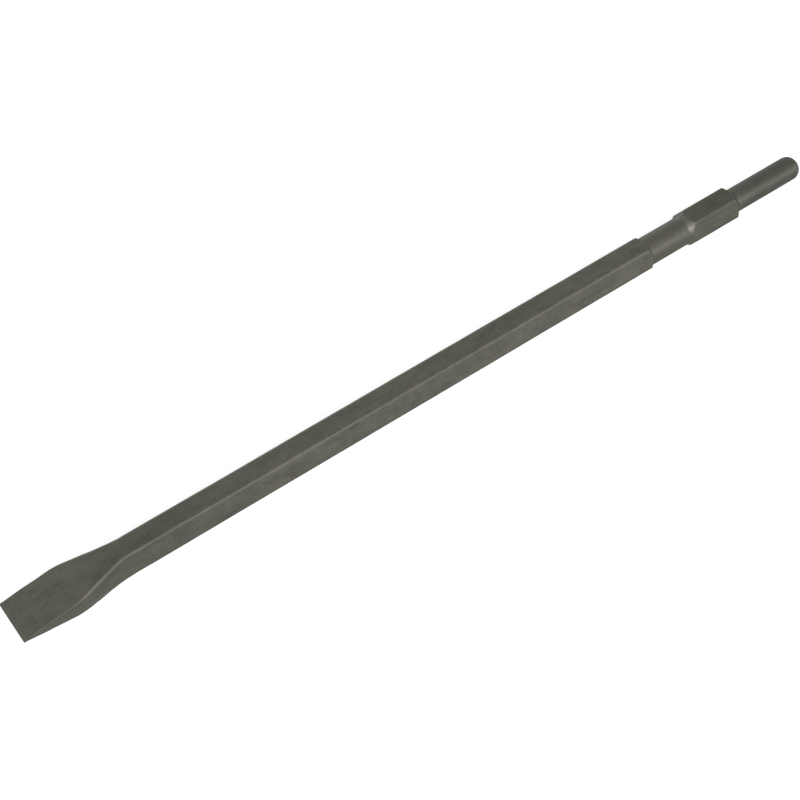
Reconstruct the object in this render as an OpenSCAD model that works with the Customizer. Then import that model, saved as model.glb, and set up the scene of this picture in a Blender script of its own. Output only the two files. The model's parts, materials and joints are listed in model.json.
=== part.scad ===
// Flat chisel steel for an electric demolition hammer, forged and turned from one hexagonal bar.
// X runs from the cutting edge to the striking end, Y runs across the blade and Z points up.
// The chisel lies on one flat of its bar. The origin is below its middle, in the plane of that flat.

/* [Bar] */
// Overall length, from the cutting edge to the striking end
length = 450; // [250:5:600]
// Width of the hexagonal bar across its flats
across_flats = 17; // [16:0.5:19]
// Radius of the bar's rolled corners
corner_r = 1.5; // [0.5:0.1:2]

/* [Blade] */
// Width of the cutting edge
blade_w = 22.2; // [21:0.1:28]
// Thickness left at the cutting edge
edge_t = 0.5; // [0.4:0.1:1]
// Length of the ground bevel behind the cutting edge
bevel_len = 9.5; // [6:0.5:14]
// Thickness of the blade at the heel of the bevel
heel_t = 5; // [3.5:0.1:6]
// Distance from the cutting edge at which the blade's faces would run out into the bar's flats
forge_len = 50; // [45:0.5:75]
// Distance from the cutting edge at which the bar's sides begin to spread
spread_len = 56; // [50:1:80]
// Distance from the cutting edge over which the sides stay parallel
parallel_len = 24.5; // [16:0.5:30]
// Radius of the corners between the blade's faces and its parallel sides
blade_corner_r = 0.4; // [0.2:0.1:0.6]
// Extra radius of the corners halfway along the spreading sides
shoulder_extra_r = 0.8; // [0:0.1:1.2]

/* [Retaining neck] */
// Distance from the striking end back to the end of the bar's flats
shank_len = 102.7; // [90:0.1:130]
// Diameter of the turned neck
neck_d = 14.8; // [13.5:0.1:15.5]
// Slope of the shoulder from the bar down to the neck, from the axis
body_slope = 45; // [30:5:60]
// Radius in the neck's two corners
neck_fillet = 1; // [0.5:0.25:1.5]

/* [Drive collar] */
// Length of the gap in the flats, between the bar and the collar
neck_gap = 27.3; // [24:0.1:32]
// Length of the collar's flats
collar_len = 29.2; // [24:0.1:32]
// Slope of the shoulder from the neck up to the collar, from the axis
lead_slope = 31; // [25:1:60]
// Slope of the shoulder from the collar down to the striking end, from the axis
collar_slope = 45; // [30:5:60]

/* [Striking end] */
// Diameter of the round striking end
striker_d = 12.5; // [11:0.1:13]
// Radius of its rounded rim
rim_r = 5; // [2:0.5:5]
// Radius in the corner between the collar and the striking end
striker_fillet = 0.8; // [0.4:0.1:1.5]

/* [Hidden] */
$fn = 96;

flat_r = across_flats / 2;
point_r = flat_r / cos(30);
face_half_w = point_r / 2;
neck_r = neck_d / 2;
striker_r = striker_d / 2;

// The turning tool cleared the bar's corners by this much, so the flats keep their full width
clear_r = point_r + 1;
// Half the length over which a blade face curves into a flat of the bar
blend_len = 5;
blend_start = forge_len - blend_len;
blend_end = forge_len + blend_len;
loft_len = max(blend_end, spread_len);
wedge_slope = (flat_r - heel_t / 2) / (forge_len - bevel_len);
// The forged sides bulge by this share of the blade's half thickness
side_crown = 0.04;
// A corner's radius is at most this share of the blade's half thickness
corner_share = 0.25;

corner_steps = 5;
side_steps = 4;
fillet_steps = 6;
rim_steps = 12;
bevel_rings = 2;
wedge_rings = 27;

body_end = length - shank_len;
collar_start = body_end + neck_gap;
collar_end = collar_start + collar_len;

function smooth(t) = t <= 0 ? 0 : t >= 1 ? 1 : t * t * (3 - 2 * t);

// 1 where the blade has its full width, 0 where the bar has its own section
function spread(u) = smooth((spread_len - u) / (spread_len - parallel_len));

// Half thickness of the forging at a distance u from the cutting edge
function half_t(u) =
    u < bevel_len ? (edge_t + (heel_t - edge_t) * u / bevel_len) / 2 :
    u < blend_start ? heel_t / 2 + wedge_slope * (u - bevel_len) :
    u < blend_end ? flat_r - wedge_slope * pow(blend_end - u, 2) / (4 * blend_len) :
    flat_r;

// Half width of the face on top, and half width at mid height
function face_w(u) = face_half_w + (blade_w / 2 - side_crown * half_t(u) - face_half_w) * spread(u);
function mid_w(u) = point_r + (blade_w / 2 - point_r) * spread(u);

// Radius of the corners: small on the blade, large on the bar, and largest where the sides spread
function corner(u) =
    let (share = spread(u))
    let (bar_part = (corner_r - blade_corner_r) * sqrt(1 - share))
    let (extra = shoulder_extra_r * 4 * share * (1 - share))
    min(corner_share * half_t(u), blade_corner_r + bar_part + extra);

function arc(y, z, r, from, to, steps) =
    [for (i = [0:steps]) let (t = from + (to - from) * i / steps) [y + r * cos(t), z + r * sin(t)]];

// Right half of a section, from top to bottom: face half width a, mid half width b, half thickness h
function half_section(a, b, h, r) =
    let (lean = atan((b - a) / h))
    let (y = b - (r + sin(lean) * (h - r)) / cos(lean))
    concat(
        arc(y, h - r, r, 90, lean, corner_steps),
        arc(b - r / cos(lean), 0, r, lean, -lean, side_steps),
        arc(y, r - h, r, -lean, -90, corner_steps)
    );

// Whole section, clockwise from the top
function section(u) =
    let (right = half_section(face_w(u), mid_w(u), half_t(u), corner(u)))
    concat(right, [for (i = [len(right) - 1:-1:0]) [-right[i][0], right[i][1]]]);

// Distances from the cutting edge at which the forging's sections stand
stations = concat(
    [for (i = [0:bevel_rings - 1]) bevel_len * i / bevel_rings],
    [for (i = [0:wedge_rings]) bevel_len + (loft_len - bevel_len) * i / wedge_rings]
);

module place() {
    translate([-length / 2, 0, flat_r]) children();
}

module blade() {
    rings = [for (u = stations) section(u)];
    n = len(rings[0]);
    last = len(stations) - 1;
    points = [for (i = [0:last]) for (p = rings[i]) [stations[i], p[0], p[1]]];
    sides = [for (i = [0:last - 1]) for (j = [0:n - 1])
        let (k = (j + 1) % n, a = i * n + j, b = i * n + k, c = a + n, d = b + n)
        each [[a, b, d], [a, d, c]]];
    ends = [[for (j = [n - 1:-1:0]) j], [for (j = [0:n - 1]) last * n + j]];
    polyhedron(points, concat(sides, ends), convexity = 4);
}

module bar(start, end) {
    translate([start, 0, 0]) rotate([90, 0, 90])
        linear_extrude(end - start) polygon(section(loft_len));
}

// Concave corner of radius f where a cone of the given slope meets a cylinder of radius r at u.
// turn is 1 where the cone falls to the cylinder and -1 where it rises from it.
function fillet(r, u, f, slope, turn) =
    [for (i = [0:fillet_steps])
        let (t = slope * (turn > 0 ? 1 - i / fillet_steps : i / fillet_steps))
        [r + f * (1 - cos(t)), u + turn * f * (tan(slope / 2) - sin(t))]];

// Distance along the axis in which a cone of the given slope changes its radius by dr
function run(dr, slope) = dr / tan(slope);

// What the lathe leaves: full size over the bar and the collar, and round in between and at the end
module turned(start) {
    neck_start = body_end + run(flat_r - neck_r, body_slope);
    neck_end = collar_start - run(flat_r - neck_r, lead_slope);
    striker_start = collar_end + run(flat_r - striker_r, collar_slope);
    profile = concat(
        [[0, start], [clear_r, start], [clear_r, body_end - run(clear_r - flat_r, body_slope)]],
        fillet(neck_r, neck_start, neck_fillet, body_slope, 1),
        fillet(neck_r, neck_end, neck_fillet, lead_slope, -1),
        [[clear_r, collar_start + run(clear_r - flat_r, lead_slope)]],
        [[clear_r, collar_end - run(clear_r - flat_r, collar_slope)]],
        fillet(striker_r, striker_start, striker_fillet, collar_slope, 1),
        arc(striker_r - rim_r, length - rim_r, rim_r, 0, 90, rim_steps),
        [[0, length]]
    );
    rotate([90, 0, 90]) rotate_extrude() polygon(profile);
}

module chisel() {
    color([0.38, 0.37, 0.34]) place() {
        blade();
        intersection() {
            bar(loft_len, length);
            turned(loft_len);
        }
    }
}

chisel();
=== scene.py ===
import json
import math

import bpy
import numpy as np
from mathutils import Matrix, Vector, noise


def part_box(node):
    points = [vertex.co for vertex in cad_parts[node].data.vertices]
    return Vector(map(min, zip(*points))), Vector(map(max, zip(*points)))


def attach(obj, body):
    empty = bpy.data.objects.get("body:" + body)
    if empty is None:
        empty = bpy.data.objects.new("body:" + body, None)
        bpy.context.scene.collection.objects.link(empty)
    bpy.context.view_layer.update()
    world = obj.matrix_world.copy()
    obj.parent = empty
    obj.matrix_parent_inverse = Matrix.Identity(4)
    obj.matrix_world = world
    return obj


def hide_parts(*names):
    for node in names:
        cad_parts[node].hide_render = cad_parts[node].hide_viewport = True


# The looks of a flat chisel steel: forged blade, rolled hexagonal bar and turned shank, all one piece.
# Lengths in the chisel's constants are in millimetres, and MM turns them into Blender's metres.
# u is a distance from the cutting edge towards the striking end.

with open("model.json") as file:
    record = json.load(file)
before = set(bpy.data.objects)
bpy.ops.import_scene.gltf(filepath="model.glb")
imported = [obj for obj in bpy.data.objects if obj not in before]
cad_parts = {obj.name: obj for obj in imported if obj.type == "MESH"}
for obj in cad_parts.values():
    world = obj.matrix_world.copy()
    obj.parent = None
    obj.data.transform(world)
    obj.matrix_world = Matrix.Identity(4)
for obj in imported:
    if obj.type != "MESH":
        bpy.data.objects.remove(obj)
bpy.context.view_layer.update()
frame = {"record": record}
MM = 0.001

# --- Sizes, from the frame where it holds them ------------------------------------------------

low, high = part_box("chisel")
LENGTH = (high.x - low.x) / MM
ACROSS_FLATS = (high.z - low.z) / MM
BLADE_W = (high.y - low.y) / MM
START_X = low.x / MM
AXIS_Z = ACROSS_FLATS / 2
mounts = {m["name"]: m for m in frame["record"]["mounts"]}
STRIKER_R = mounts["striking_end"]["dims"]["r_mm"]

FLAT_R = ACROSS_FLATS / 2
POINT_R = FLAT_R / math.cos(math.radians(30))

# Corners of the section: along the bar, along the blade, what the shoulder between them adds at most,
# and the largest share of the half thickness that a corner takes
CORNER_R = 1.5
BLADE_CORNER_R = 0.4
SHOULDER_EXTRA_R = 0.8
CORNER_SHARE = 0.25

# Blade: T is a thickness and LEN a distance from the cutting edge, but BLEND_LEN is half the length
# over which the wedge runs into the bar. SIDE_CROWN is how far the flat faces' edges stand back from
# the middle of the side, as a share of the half thickness.
EDGE_T = 0.5
BEVEL_LEN = 9.5
HEEL_T = 5.0
FORGE_LEN = 50.0
BLEND_LEN = 5.0
SPREAD_LEN = 56.0
PARALLEL_LEN = 24.5
SIDE_CROWN = 0.04
LOFT_LEN = max(FORGE_LEN + BLEND_LEN, SPREAD_LEN)
# Rounding at the two ends of the cutting edge, and the half thickness left at the very edge
EDGE_CORNER_R = 0.45
LEAST_HALF_T = 0.02

# Shank: START and END are distances from the cutting edge, and slopes are measured from the axis
BODY_END = 347.3
BODY_SLOPE = 45.0
NECK_R = 7.4
NECK_FILLET = 1.0
COLLAR_START = BODY_END + 27.3
COLLAR_END = COLLAR_START + 29.2
LEAD_SLOPE = 31.0
COLLAR_SLOPE = 45.0
STRIKER_FILLET = 0.8
RIM_R = 5.0

# The lathe's path stands this far off the bar's points where nothing is turned
LATHE_CLEARANCE = 1.5
# The first mark of the lathe is no further than this before the end of the bar
LATHE_LEAD = 5
# A point this far below the hexagon counts as turned all over
TURNED_DEPTH = 0.1
# Softness of the edges between the flats and the turned shoulders
EDGE_BREAK = 0.18

# Steps of the mesh across a face, a corner, a side and the side's middle, and points along a fillet
# and over the rim
FACE_STEPS = 14
CORNER_STEPS = 8
SIDE_STEPS = 14
MIDDLE_STEPS = 6
FILLET_POINTS = 13
RIM_POINTS = 22

# Where the rings of the mesh stand: first one by one, then from each u on with the spacing beside it
EDGE_RINGS = [0, 0.03, 0.08, 0.15, 0.25, 0.4]
RING_SPACING = [
    (0.6, 0.6),
    (BEVEL_LEN - 1, 0.25),
    (BEVEL_LEN + 1, 0.8),
    (LOFT_LEN, 1.4),
    (BODY_END - 3, 0.2),
    (BODY_END + 4, 0.7),
    (COLLAR_START - 4, 0.2),
    (COLLAR_START + 5, 0.8),
    (COLLAR_END - 3, 0.2),
    (COLLAR_END + 5, 0.8),
]

# What rolling, forging and grinding take off the nominal shape: a depth everywhere, then uneven depths,
# each with its size, its seed and how far it is stretched along the bar
ROLLED = (0.05, [(0.04, 14, 3.1, 3), (0.02, 4, 8.7, 2)])
FORGED = (0.12, [(0.08, 9, 1.7, 1), (0.05, 3.5, 5.3, 1)])
GROUND = (0.12, [(0.03, 5, 9.4, 1)])
# Half the depth, and the spacing, of the ridges that the lathe leaves
LATHE_RIDGE = 0.006
LATHE_PITCH = 1.3
# Lengths over which the forged and the ground surface end, and over which unevenness begins
FORGED_END = 8
GROUND_END = 1.0
EDGE_FADE = 2
# Brings the noise's range to about -1 to 1
NOISE_GAIN = 1.6
# Curvatures are worked out as if neighbouring points stood at least this far apart
LEAST_STEP = 0.05
# Keeps a vector of no length from being divided by nothing
TINY = 1e-12


# --- Shape ------------------------------------------------------------------------------------


def smooth(t):
    t = np.clip(t, 0, 1)
    return t * t * (3 - 2 * t)


def rising(value, start, length):
    """0 up to start, and 1 from start + length on."""
    return smooth((value - start) / length)


def falling(value, start, length):
    """1 up to start, and 0 from start + length on."""
    return 1 - rising(value, start, length)


def zone(u, start, rise, stop, fall):
    """1 between start + rise and stop, and 0 before start and after stop + fall."""
    return rising(u, start, rise) * falling(u, stop, fall)


def spread(u):
    """1 where the blade has its full width, 0 where the bar keeps its own section."""
    return float(smooth((SPREAD_LEN - u) / (SPREAD_LEN - PARALLEL_LEN)))


def half_thickness(u):
    wedge = (FLAT_R - HEEL_T / 2) / (FORGE_LEN - BEVEL_LEN)
    if u < BEVEL_LEN:
        return (EDGE_T + (HEEL_T - EDGE_T) * u / BEVEL_LEN) / 2
    if u < FORGE_LEN - BLEND_LEN:
        return HEEL_T / 2 + wedge * (u - BEVEL_LEN)
    if u < FORGE_LEN + BLEND_LEN:
        return FLAT_R - wedge * (FORGE_LEN + BLEND_LEN - u) ** 2 / (4 * BLEND_LEN)
    return FLAT_R


def corner_radius(u):
    """Small on the blade, larger on the bar and largest where the forging runs from one to the other."""
    share = spread(u)
    r = BLADE_CORNER_R + (CORNER_R - BLADE_CORNER_R) * math.sqrt(1 - share)
    r += SHOULDER_EXTRA_R * 4 * share * (1 - share)
    return min(r, CORNER_SHARE * half_thickness(u))


def nose(u, radius):
    """How far an edge of the given radius has drawn in at a distance u behind its tip."""
    if u >= radius:
        return 0.0
    return radius - math.sqrt(radius**2 - (radius - u) ** 2)


def arc(y, z, radius, start, stop, steps):
    angles = np.radians(np.linspace(start, stop, steps + 1))
    return np.column_stack([y + radius * np.cos(angles), z + radius * np.sin(angles)])


def line(a, b, steps):
    """Points strictly between a and b."""
    t = np.linspace(0, 1, steps + 1)[1:-1, None]
    return a + (b - a) * t


def section(u):
    """Outline of the forging at u as [y, z] points about the axis, from the top's middle round by +Y."""
    h = max(half_thickness(u) - nose(u, EDGE_T / 2), LEAST_HALF_T)
    share = spread(u)
    a = POINT_R / 2 + (BLADE_W / 2 - SIDE_CROWN * h - POINT_R / 2) * share - nose(u, EDGE_CORNER_R)
    b = POINT_R + (BLADE_W / 2 - POINT_R) * share - nose(u, EDGE_CORNER_R)
    r = min(corner_radius(u), CORNER_SHARE * h)
    lean = math.atan((b - a) / h)
    y = b - (r + math.sin(lean) * (h - r)) / math.cos(lean)
    middle_y = b - r / math.cos(lean)
    lean = math.degrees(lean)
    corner = arc(y, h - r, r, 90, lean, CORNER_STEPS)
    middle = arc(middle_y, 0, r, lean, 0, MIDDLE_STEPS // 2)
    top = np.linspace(0, y, FACE_STEPS // 2 + 1)[:-1]
    quarter = np.vstack([
        np.column_stack([top, np.full(len(top), h)]),
        corner,
        line(corner[-1], middle[0], SIDE_STEPS),
        middle,
    ])
    lower = quarter[-2::-1] * [1, -1]
    right = np.vstack([quarter, lower])
    left = right[-2:0:-1] * [-1, 1]
    return np.vstack([right, left])


def fillet(r, u, radius, slope, turn):
    """[u, r] points of the concave corner between a cone of that slope and a cylinder of radius r.

    The cone comes before the cylinder where turn is 1, and after it where turn is -1.
    """
    t = np.radians(slope) * np.linspace(1, 0, FILLET_POINTS)[::turn]
    reach = radius * (math.tan(math.radians(slope) / 2) - np.sin(t))
    return np.column_stack([u + turn * reach, r + radius * (1 - np.cos(t))])


def run(dr, slope):
    """Length over which a cone of that slope changes its radius by dr."""
    return dr / math.tan(math.radians(slope))


def turning_profile():
    """[u, r] points of what the lathe leaves, from the bar to the start of the striking end's rim."""
    clear = POINT_R + LATHE_CLEARANCE
    neck_start = BODY_END + run(FLAT_R - NECK_R, BODY_SLOPE)
    neck_end = COLLAR_START - run(FLAT_R - NECK_R, LEAD_SLOPE)
    striker_start = COLLAR_END + run(FLAT_R - STRIKER_R, COLLAR_SLOPE)
    return np.vstack([
        [[0, clear], [BODY_END - run(clear - FLAT_R, BODY_SLOPE), clear]],
        fillet(NECK_R, neck_start, NECK_FILLET, BODY_SLOPE, 1),
        fillet(NECK_R, neck_end, NECK_FILLET, LEAD_SLOPE, -1),
        [[COLLAR_START + run(clear - FLAT_R, LEAD_SLOPE), clear]],
        [[COLLAR_END - run(clear - FLAT_R, COLLAR_SLOPE), clear]],
        fillet(STRIKER_R, striker_start, STRIKER_FILLET, COLLAR_SLOPE, 1),
        [[LENGTH - RIM_R, STRIKER_R]],
    ])


def spaced(start, stop, step):
    """Even distances of about step from start to just short of stop."""
    return np.linspace(start, stop, max(2, round((stop - start) / step) + 1))[:-1]


def stations():
    """Distances from the cutting edge at which rings stand: closer together where the shape changes."""
    stops = [start for start, step in RING_SPACING[1:]] + [LENGTH - RIM_R]
    rows = [spaced(start, stop, step) for (start, step), stop in zip(RING_SPACING, stops)]
    return np.concatenate([EDGE_RINGS, *rows])


def soft_min(a, b, width):
    """The smaller of a and b, with the corner between them rounded over about that width."""
    blend = np.clip((width - np.abs(a - b)) / width, 0, 1)
    return np.minimum(a, b) - blend**2 * width / 4


def ring(u, profile):
    """Points of one ring, and how much of each was turned on the lathe."""
    outline = section(u)
    if u < BODY_END - LATHE_LEAD:
        return outline, np.zeros(len(outline))
    hex_r = np.hypot(outline[:, 0], outline[:, 1])
    turned_r = np.interp(u, profile[:, 0], profile[:, 1])
    r = soft_min(hex_r, turned_r, EDGE_BREAK)
    angles = np.arctan2(outline[:, 1], outline[:, 0])
    return np.column_stack([r * np.cos(angles), r * np.sin(angles)]), smooth((hex_r - r) / TURNED_DEPTH)


def all_rings():
    """Every ring as points [ring, point, (u, y, z)], with the turned share of each point."""
    profile = turning_profile()
    points = []
    turned = []
    for u in stations():
        outline, share = ring(u, profile)
        points.append(np.column_stack([np.full(len(outline), u), outline]))
        turned.append(share)
    angles = np.arctan2(outline[:, 1], outline[:, 0])
    for t in np.linspace(0, math.pi / 2, RIM_POINTS):
        r = STRIKER_R - RIM_R + RIM_R * math.cos(t)
        u = LENGTH - RIM_R + RIM_R * math.sin(t)
        points.append(np.column_stack([np.full(len(angles), u), r * np.cos(angles), r * np.sin(angles)]))
        turned.append(np.ones(len(angles)))
    return np.array(points), np.array(turned)


def unit(v):
    return v / np.maximum(np.linalg.norm(v, axis=-1, keepdims=True), TINY)


def grid_normals(p):
    """Outward normals of the grid of points, which closes on itself around each ring."""
    around = np.roll(p, -1, axis=1) - np.roll(p, 1, axis=1)
    along = np.gradient(p, axis=0)
    return unit(np.cross(along, around))


def bend(p, n, axis):
    """Curvature per millimetre along one direction of the grid: above 0 on edges, below 0 in corners."""
    ahead = np.roll(p, -1, axis=axis) - p
    back = p - np.roll(p, 1, axis=axis)
    step = (np.linalg.norm(ahead, axis=-1) + np.linalg.norm(back, axis=-1)) / 2
    curve = -np.sum((unit(ahead) - unit(back)) * n, axis=-1) / np.maximum(step, LEAST_STEP)
    if axis == 0:
        curve[[0, -1]] = 0
    return curve


def field(p, size, seed, stretch):
    """Smooth random values from about -1 to 1, with blotches of that size in millimetres."""
    scale = np.array([1 / (size * stretch), 1 / size, 1 / size])
    flat = p.reshape(-1, 3) * scale + seed
    return np.array([noise.noise(Vector(v)) for v in flat]).reshape(p.shape[:-1]) * NOISE_GAIN


def uneven(p, everywhere, waves):
    """Depth below the nominal shape at each point."""
    return everywhere + sum(depth * field(p, *wave) for depth, *wave in waves)


def worn_surface(p, turned):
    """Moves the points inwards by the small unevenness that rolling, forging and grinding leave."""
    n = grid_normals(p)
    u = p[..., 0]
    forged = falling(u, SPREAD_LEN, FORGED_END)
    ground = falling(u, BEVEL_LEN - GROUND_END / 2, GROUND_END)
    depth = (1 - forged) * (1 - turned) * uneven(p, *ROLLED)
    depth += forged * (1 - ground) * uneven(p, *FORGED)
    depth += ground * uneven(p, *GROUND)
    depth += turned * LATHE_RIDGE * (1 + np.sin(u * 2 * math.pi / LATHE_PITCH))
    return p - n * (np.maximum(depth, 0) * rising(u, 0, EDGE_FADE))[..., None]


# --- Marks, which tell the material where it is on the chisel ----------------------------------

# Curvatures per millimetre from which edges wear and hollows get painted shade, and what adds up to the
# most
WEAR_BEND = (0.25, 0.6)
HOLLOW_BEND = (0.15, 0.8)
# Start and length of the ends of the ground, the forged and the thin part
GROUND_FALL = (BEVEL_LEN - 0.25, 0.5)
FORGED_FALL = (SPREAD_LEN - 5, 10)
THIN_FALL = (PARALLEL_LEN - 4, 14)
# Where a zone starts, the length of its rise, where its fall starts and the length of that
RUBBED_ZONE = (COLLAR_START - 3, 1.5, COLLAR_START + 3.5, 1.5)
COLLAR_ZONE = (COLLAR_START, 5, COLLAR_END + 2, 2)
REHEATED_ZONE = (SPREAD_LEN - 28, 20, 1.5 * SPREAD_LEN, 40)
# How strong the collar's mark is at its start, with 1 at its end
COLLAR_FIRST = 0.5
# The striking end's mark rises to this share, and then on to 1
STRUCK_RISE = (COLLAR_END + 3, 2)
STRUCK_FIRST = 0.7
STRUCK_REST = (COLLAR_END + 4, 10)
HEEL_WIDTH = 0.6


def surface_marks(p, turned):
    """One value from 0 to 1 for each point of the rings and for the middle of the striking end's face."""
    n = grid_normals(p)
    bends = [bend(p, n, 0), bend(p, n, 1)]
    edge = np.maximum(*bends)
    hollow = -np.minimum(*bends)
    u = np.append(p[..., 0].ravel(), LENGTH)
    turned = np.append(turned.ravel(), 1)
    along_collar = np.clip((u - COLLAR_START) / (COLLAR_END - COLLAR_START), 0, 1)
    return {
        "edge_wear": np.append(rising(edge.ravel(), *WEAR_BEND), 0),
        # Painted shade: 1 where the surface curves inwards, in fillets and hollows
        "painted_recess_shade": np.append(rising(hollow.ravel(), *HOLLOW_BEND), 0),
        "turned": turned,
        "ground": falling(u, *GROUND_FALL),
        "forged": falling(u, *FORGED_FALL),
        "thin": falling(u, *THIN_FALL),
        "rubbed": turned * zone(u, *RUBBED_ZONE),
        "collar": zone(u, *COLLAR_ZONE) * (COLLAR_FIRST + (1 - COLLAR_FIRST) * along_collar),
        "struck": rising(u, *STRUCK_RISE) * (STRUCK_FIRST + (1 - STRUCK_FIRST) * rising(u, *STRUCK_REST)),
        "heel": np.exp(-(((u - BEVEL_LEN) / HEEL_WIDTH) ** 2)),
        "reheated": zone(u, *REHEATED_ZONE),
    }


def grid_faces(rings, count):
    """Faces between the rings, the face at the cutting edge and the fan at the striking end."""
    index = np.arange(rings * count).reshape(rings, count)
    after = np.roll(index, -1, axis=1)
    sides = np.stack([index[:-1], index[1:], after[1:], after[:-1]], axis=-1).reshape(-1, 4)
    # The face at the cutting edge joins each point of the upper half to the one below it
    quarter = count // 4
    front = []
    for j in range(-quarter, quarter):
        corners = [int(index[0, i % count]) for i in (j, j + 1, 2 * quarter - j - 1, 2 * quarter - j)]
        front.append(list(dict.fromkeys(corners)))
    centre = rings * count
    tip = [[index[-1, j], centre, after[-1, j]] for j in range(count)]
    return sides.tolist() + front + tip


def build_mesh():
    """The chisel's mesh, and the names of the marks that it carries."""
    p, turned = all_rings()
    p = worn_surface(p, turned)
    verts = np.vstack([p.reshape(-1, 3), [[LENGTH, 0, 0]]])
    verts = (verts + [START_X, 0, AXIS_Z]) * MM
    mesh = bpy.data.meshes.new("chisel_forging")
    mesh.from_pydata(verts.tolist(), [], grid_faces(*p.shape[:2]))
    mesh.validate()
    mesh.shade_smooth()
    marks = surface_marks(p, turned)
    for name, values in marks.items():
        layer = mesh.attributes.new(name, "FLOAT", "POINT")
        layer.data.foreach_set("value", values.astype(np.float32))
    return mesh, list(marks)


# --- Material ---------------------------------------------------------------------------------


class Graph:
    """A material's node tree, with one short call for each node."""

    def __init__(self, name):
        self.material = bpy.data.materials.new(name)
        self.material.use_nodes = True
        self.tree = self.material.node_tree
        self.tree.nodes.clear()

    def add(self, kind, inputs=None, **settings):
        made = self.tree.nodes.new(kind)
        for key, value in settings.items():
            setattr(made, key, value)
        for key, value in (inputs or {}).items():
            if isinstance(value, bpy.types.NodeSocket):
                self.tree.links.new(value, made.inputs[key])
            else:
                made.inputs[key].default_value = value
        return made

    def place(self, scale):
        """The piece's own coordinates, in metres, scaled along x, y and z."""
        where = self.add("ShaderNodeTexCoord").outputs["Object"]
        return self.add("ShaderNodeMapping", {"Vector": where, "Scale": scale}).outputs["Vector"]

    def noise(self, scale, detail, rough, warp):
        inputs = {"Vector": self.place(scale), "Scale": 1.0, "Detail": detail, "Roughness": rough}
        inputs["Distortion"] = warp
        return self.add("ShaderNodeTexNoise", inputs).outputs["Fac"]

    def spots(self, scale):
        """Distance from the nearest of many scattered points."""
        inputs = {"Vector": self.place(scale), "Scale": 1.0}
        return self.add("ShaderNodeTexVoronoi", inputs).outputs["Distance"]

    def mark(self, name):
        return self.add("ShaderNodeAttribute", attribute_name=name).outputs["Fac"]

    def span(self, value, start, stop, low=0.0, high=1.0):
        """Maps value from start..stop to low..high, held at both ends."""
        inputs = {"Value": value, "From Min": start, "From Max": stop, "To Min": low, "To Max": high}
        return self.add("ShaderNodeMapRange", inputs).outputs["Result"]

    def math(self, operation, a, b):
        return self.add("ShaderNodeMath", {0: a, 1: b}, operation=operation).outputs["Value"]

    def times(self, a, b):
        return self.math("MULTIPLY", a, b)

    def largest(self, first, *others):
        for value in others:
            first = self.math("MAXIMUM", first, value)
        return first

    def total(self, first, *others):
        for value in others:
            first = self.math("ADD", first, value)
        return first

    def mix(self, share, a, b, blend="MIX"):
        made = self.add("ShaderNodeMix", {0: share}, data_type="RGBA", blend_type=blend)
        for key, value in ((6, a), (7, b)):
            if isinstance(value, bpy.types.NodeSocket):
                self.tree.links.new(value, made.inputs[key])
            else:
                made.inputs[key].default_value = (*value, 1)
        return made.outputs[2]

    def bump(self, height, strength, distance, normal):
        inputs = {"Height": height, "Strength": strength, "Distance": distance}
        if normal:
            inputs["Normal"] = normal
        return self.add("ShaderNodeBump", inputs).outputs["Normal"]

    def finish(self, inputs):
        shader = self.add("ShaderNodeBsdfPrincipled", inputs)
        self.add("ShaderNodeOutputMaterial", {"Surface": shader.outputs["BSDF"]})
        return self.material


def per_mm(x, y=None, z=None):
    """Texture scale for blotches of x by y by z millimetres."""
    return tuple(1000 / size for size in (x, y or x, z or y or x))


# Linear colours: the heat-treatment scale, bare steel on worn edges, dirt in pits that also serves as
# painted shade in hollows, turned steel, and a dark tint that multiplies what is under it
SCALE_DARK = (0.068, 0.066, 0.053)
SCALE_LIGHT = (0.120, 0.117, 0.094)
WORN = (0.160, 0.156, 0.130)
SOOT_AND_PAINTED_SHADE = (0.035, 0.034, 0.030)
TURNED = (0.108, 0.105, 0.086)
DULLED = (0.70, 0.70, 0.70)
METALLIC = 0.6
SPECULAR = 0.5

# Noise textures: millimetres along x, y and z, where the last one given holds for the rest, then
# detail, roughness and distortion
TEXTURES = {
    "blotches": ((22, 9), 5, 0.6, 0.4),
    "patches": ((6, 3.5), 4, 0.6, 0.3),
    "mottle": ((1.9,), 5, 0.7, 0.0),
    "streaks": ((34, 0.9), 4, 0.6, 0.0),
    "grain": ((0.4,), 2, 0.5, 0.0),
    "small_pit_areas": ((7, 4), 4, 0.55, 0.0),
    "large_pit_areas": ((14,), 3, 0.55, 0.0),
    "broken": ((3.2, 1.1), 5, 0.7, 0.0),
    "lathe": ((0.22, 60), 2, 0.5, 0.0),
    "rings": ((0.7, 90), 3, 0.6, 0.0),
    "grinding": ((24, 0.16, 24), 3, 0.6, 0.0),
}

# Pits: millimetres between them, then as shares of that how far from its middle a pit is deepest and
# ends, and the values of their area's noise between which they come in
SMALL_PITS = ((1.1,), (0.05, 0.20), (0.52, 0.64))
LARGE_PITS = ((3.1, 2.3), (0.05, 0.13), (0.54, 0.60))

# How much each texture and the forging lighten the scale, and the sums for its dark and light colour
TONE_SHARES = {"blotches": 0.35, "patches": 0.25, "mottle": 0.25, "streaks": 0.15, "forged": 0.04}
TONE_RANGE = (0.38, 0.62)

# The turned zones: share of their own colour, and the dark rings' range and strength
TURNED_SHARE = 0.45
RING_RANGE = (0.35, 0.65)
RING_SHARE = 0.4

# How much the tint shows on each zone
DULL_SHARES = {"collar": 0.8, "struck": 0.75, "reheated": 0.45}

# Worn edges: how much of the wear the thin blade and the collar are spared, the range of the noise that
# breaks the wear up, and the least and most of it that shows on edges, on the rubbed shoulder and on
# the heel of the bevel
SPARED_SHARES = {"thin": 0.7, "collar": 0.8}
BROKEN_RANGE = (0.36, 0.66)
EDGE_SHOWS = (0.3, 0.9)
RUBBED_SHOWS = (0.7, 1)
HEEL_SHOWS = (0.1, 0.5)

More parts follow.
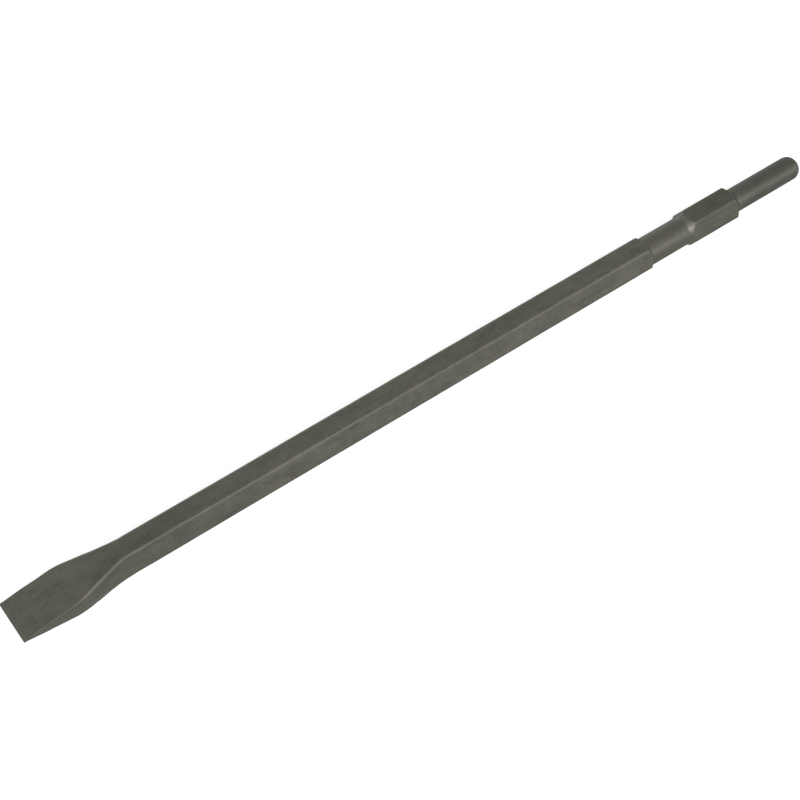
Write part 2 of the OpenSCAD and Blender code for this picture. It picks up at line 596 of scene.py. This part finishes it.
# How much of the new colour worn edges, pits and the painted shade in hollows take
WORN_SHARE = 0.52
PIT_SHARE = 0.7
PAINTED_RECESS_SHADE_SHARE = 0.3

# Roughness of the scale over the patches' range, and what turning, wear and pits change
PATCH_RANGE = (0.35, 0.65)
ROUGH_RANGE = (0.52, 0.62)
TURNED_SMOOTHER = 0.05
WORN_SMOOTHER = 0.10
PIT_ROUGHER = 0.2

# Bumps: what they follow, the mark that limits them, strength and distance in metres
BUMPS = [
    ("blotches", None, 0.25, 0.0002),
    ("patches", None, 0.30, 0.00012),
    ("mottle", None, 0.35, 0.00008),
    ("grain", "not_turned", 0.25, 0.00003),
    ("lathe", "turned", 0.35, 0.00005),
    ("rings", "turned", 0.35, 0.00006),
    ("grinding", "ground", 0.4, 0.00003),
]
PIT_BUMP = (0.6, 0.0001)


def inverse(g, value):
    return g.math("SUBTRACT", 1.0, value)


def pit_layer(g, area, spacing, depth_range, area_range):
    pits = g.span(g.spots(per_mm(*spacing)), *depth_range, 1, 0)
    return g.times(pits, g.span(area, *area_range))


def worn_share(g, at):
    """How much bare steel shows on edges, on the rubbed shoulder and along the heel of the bevel."""
    broken = g.span(at["broken"], *BROKEN_RANGE)
    spared = g.largest(*(g.times(at[name], share) for name, share in SPARED_SHARES.items()))
    edges = g.times(at["edge_wear"], inverse(g, spared))
    return g.largest(
        g.times(edges, g.span(broken, 0, 1, *EDGE_SHOWS)),
        g.times(at["rubbed"], g.span(broken, 0, 1, *RUBBED_SHOWS)),
        g.times(at["heel"], g.span(broken, 0, 1, *HEEL_SHOWS)),
    )


def steel_color(g, at, worn, pits):
    tone = g.total(*(g.times(at[name], share) for name, share in TONE_SHARES.items()))
    color = g.mix(g.span(tone, *TONE_RANGE), SCALE_DARK, SCALE_LIGHT)
    color = g.mix(g.times(at["turned"], TURNED_SHARE), color, TURNED)
    ringed = g.mix(g.span(at["rings"], *RING_RANGE, 0, RING_SHARE), color, SCALE_DARK)
    color = g.mix(at["turned"], color, ringed)
    dull = g.largest(*(g.times(at[name], share) for name, share in DULL_SHARES.items()))
    color = g.mix(dull, color, g.mix(1.0, color, DULLED, "MULTIPLY"))
    color = g.mix(g.times(worn, WORN_SHARE), color, WORN)
    color = g.mix(g.times(pits, PIT_SHARE), color, SOOT_AND_PAINTED_SHADE)
    # Painted shade: hollows and fillets are darkened towards the dark soot colour
    return g.mix(g.times(at["painted_recess_shade"], PAINTED_RECESS_SHADE_SHARE), color, SOOT_AND_PAINTED_SHADE)


def steel_roughness(g, at, worn, pits):
    rough = g.span(at["patches"], *PATCH_RANGE, *ROUGH_RANGE)
    rough = g.math("SUBTRACT", rough, g.times(at["turned"], TURNED_SMOOTHER))
    rough = g.math("SUBTRACT", rough, g.times(worn, WORN_SMOOTHER))
    return g.total(rough, g.times(pits, PIT_ROUGHER))


def steel_normal(g, at, pits):
    normal = None
    for name, limit, strength, distance in BUMPS:
        height = g.times(at[name], at[limit]) if limit else at[name]
        normal = g.bump(height, strength, distance, normal)
    return g.bump(g.times(pits, -1.0), *PIT_BUMP, normal)


def forged_steel(marks):
    """The chisel's material. It holds every mark and texture in at, by name."""
    g = Graph("forged_steel")
    at = {name: g.mark(name) for name in marks}
    for name, (size, *look) in TEXTURES.items():
        at[name] = g.noise(per_mm(*size), *look)
    at["not_turned"] = inverse(g, at["turned"])
    small = pit_layer(g, at["small_pit_areas"], *SMALL_PITS)
    large = pit_layer(g, at["large_pit_areas"], *LARGE_PITS)
    pits = g.times(g.largest(small, large), at["not_turned"])
    worn = worn_share(g, at)
    return g.finish({
        "Base Color": steel_color(g, at, worn, pits),
        "Roughness": steel_roughness(g, at, worn, pits),
        "Normal": steel_normal(g, at, pits),
        "Metallic": METALLIC,
        "Specular IOR Level": SPECULAR,
    })


# --- The chisel -------------------------------------------------------------------------------

chisel_mesh, mark_names = build_mesh()
chisel_mesh.materials.append(forged_steel(mark_names))
chisel = bpy.data.objects.new("chisel_forging", chisel_mesh)
bpy.context.scene.collection.objects.link(chisel)
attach(chisel, "root")
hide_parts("chisel")

# --- Floor, camera and light, in metres and degrees --------------------------------------------

FLOOR_R = 1.6
COVE_R = 0.8
WALL_TOP = 3.0
COVE_POINTS = 13
FLOOR_SIDES = 96
FLOOR_LOOKS = {
    "Base Color": (0.5, 0.5, 0.5, 1),
    "Roughness": 0.9,
    "Emission Color": (1, 1, 1, 1),
    "Emission Strength": 0.7,
}


def add_floor():
    """A round floor that curves up into a wall, lit from within like a photographer's light table.

    It shows white behind the chisel, but throws no light on it.
    """
    turn = np.radians(np.linspace(0, 90, COVE_POINTS))
    profile = [(FLOOR_R + COVE_R * math.sin(t), COVE_R * (1 - math.cos(t))) for t in turn]
    profile.append((FLOOR_R + COVE_R, WALL_TOP))
    sides = FLOOR_SIDES
    angles = np.linspace(0, 2 * math.pi, sides, endpoint=False)
    verts = [(r * math.cos(t), r * math.sin(t), low.z + z) for r, z in profile for t in angles]
    faces = [tuple(range(sides))]
    for i in range(len(profile) - 1):
        for j in range(sides):
            k = (j + 1) % sides
            faces.append((i * sides + j, (i + 1) * sides + j, (i + 1) * sides + k, i * sides + k))
    mesh = bpy.data.meshes.new("floor")
    mesh.from_pydata(verts, [], faces)
    mesh.shade_smooth()
    mesh.materials.append(Graph("floor").finish(FLOOR_LOOKS))
    floor = bpy.data.objects.new("floor", mesh)
    floor.visible_diffuse = False
    floor.visible_glossy = False
    floor.visible_shadow = False
    bpy.context.scene.collection.objects.link(floor)


def aim(thing, place, target, roll=0.0):
    """Puts thing at place and turns its -Z axis to target, level but for roll in degrees."""
    look = (Vector(target) - Vector(place)).to_track_quat("-Z", "Y")
    turn = look.to_matrix() @ Matrix.Rotation(math.radians(roll), 3, "Z")
    thing.matrix_world = Matrix.Translation(Vector(place)) @ turn.to_4x4()


def direction(bearing, elevation):
    """Unit vector up from the chisel's middle; bearing is in degrees from -Y towards -X."""
    b = math.radians(bearing)
    e = math.radians(elevation)
    return Vector((-math.sin(b) * math.cos(e), -math.cos(b) * math.cos(e), math.sin(e)))


# Lens and sensor are in millimetres
CAMERA_BEARING = 36.39
CAMERA_ELEVATION = 55.01
CAMERA_ROLL = 0.705
CAMERA_DISTANCE = 0.7601
CAMERA_LENS = 74.25
CAMERA_SENSOR = 36
CAMERA_CLIP = 0.01
LOOK_AT = Vector((-0.02506, -0.00146, 0.00764))


def add_camera():
    data = bpy.data.cameras.new("camera")
    data.lens = CAMERA_LENS
    data.sensor_width = CAMERA_SENSOR
    data.clip_start = CAMERA_CLIP
    camera = bpy.data.objects.new("camera", data)
    bpy.context.scene.collection.objects.link(camera)
    place = LOOK_AT + direction(CAMERA_BEARING, CAMERA_ELEVATION) * CAMERA_DISTANCE
    aim(camera, place, LOOK_AT, CAMERA_ROLL)
    bpy.context.scene.camera = camera


# Soft round lights: name, bearing, elevation, width and watts
LIGHTS = [
    ("key", 20, 40, 1.6, 69),
    ("side", -50, 15, 1.3, 30),
    ("back", -165, 14, 1.3, 22),
]
LIGHT_DISTANCE = 3.0
SKY_STRENGTH = 0.6


def add_light(name, bearing, elevation, width, watts):
    data = bpy.data.lights.new(name, "AREA")
    data.shape = "DISK"
    data.size = width
    data.energy = watts
    light = bpy.data.objects.new(name, data)
    bpy.context.scene.collection.objects.link(light)
    aim(light, direction(bearing, elevation) * LIGHT_DISTANCE, (0, 0, 0))


def add_sky():
    world = bpy.data.worlds.new("studio")
    world.use_nodes = True
    background = world.node_tree.nodes["Background"]
    background.inputs["Color"].default_value = (1, 1, 1, 1)
    background.inputs["Strength"].default_value = SKY_STRENGTH
    bpy.context.scene.world = world


add_floor()
add_camera()
for light in LIGHTS:
    add_light(*light)
add_sky()
bpy.context.scene.view_settings.view_transform = "Standard"
